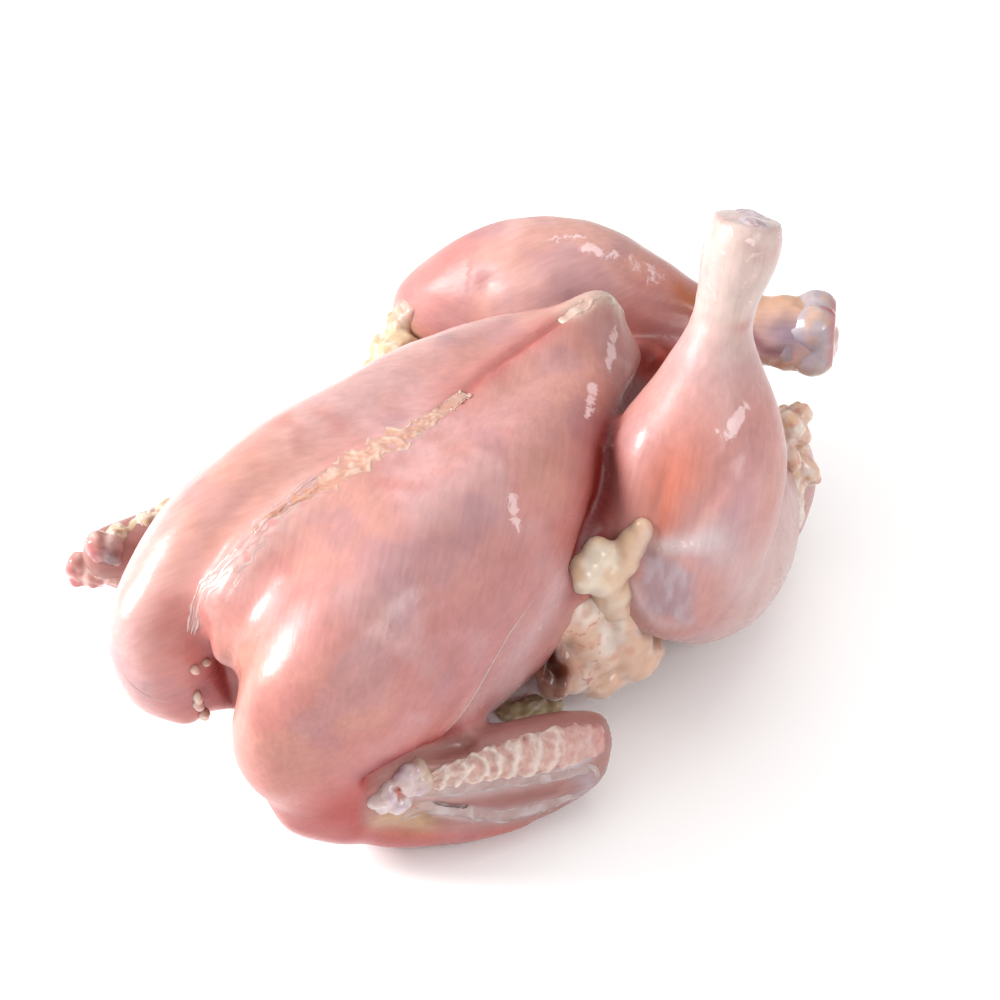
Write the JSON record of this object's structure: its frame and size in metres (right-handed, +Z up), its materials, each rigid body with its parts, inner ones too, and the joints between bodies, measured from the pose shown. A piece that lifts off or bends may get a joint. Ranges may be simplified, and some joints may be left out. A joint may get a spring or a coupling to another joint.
{
  "type": "whole raw chicken",
  "caption": "Skinned whole raw chicken on its back, breast up, with one drumstick raised, the other laid across the vent, and the wings cut at the wrist.",
  "frame": {"origin": "on the flat of the back that the bird lies on, under the middle of the rib cage", "axes": "+Z up through the breast, +Y towards the tail, +X towards the bird's right side; the neck end is at -Y"},
  "size_m": [0.1668, 0.2457, 0.1473],
  "materials": {
    "raw_flesh": "moist raw flesh, pink, glossy"
  },
  "bodies": {
    "root": {"whole_raw_chicken": "raw_flesh"}
  },
  "joints": []
}
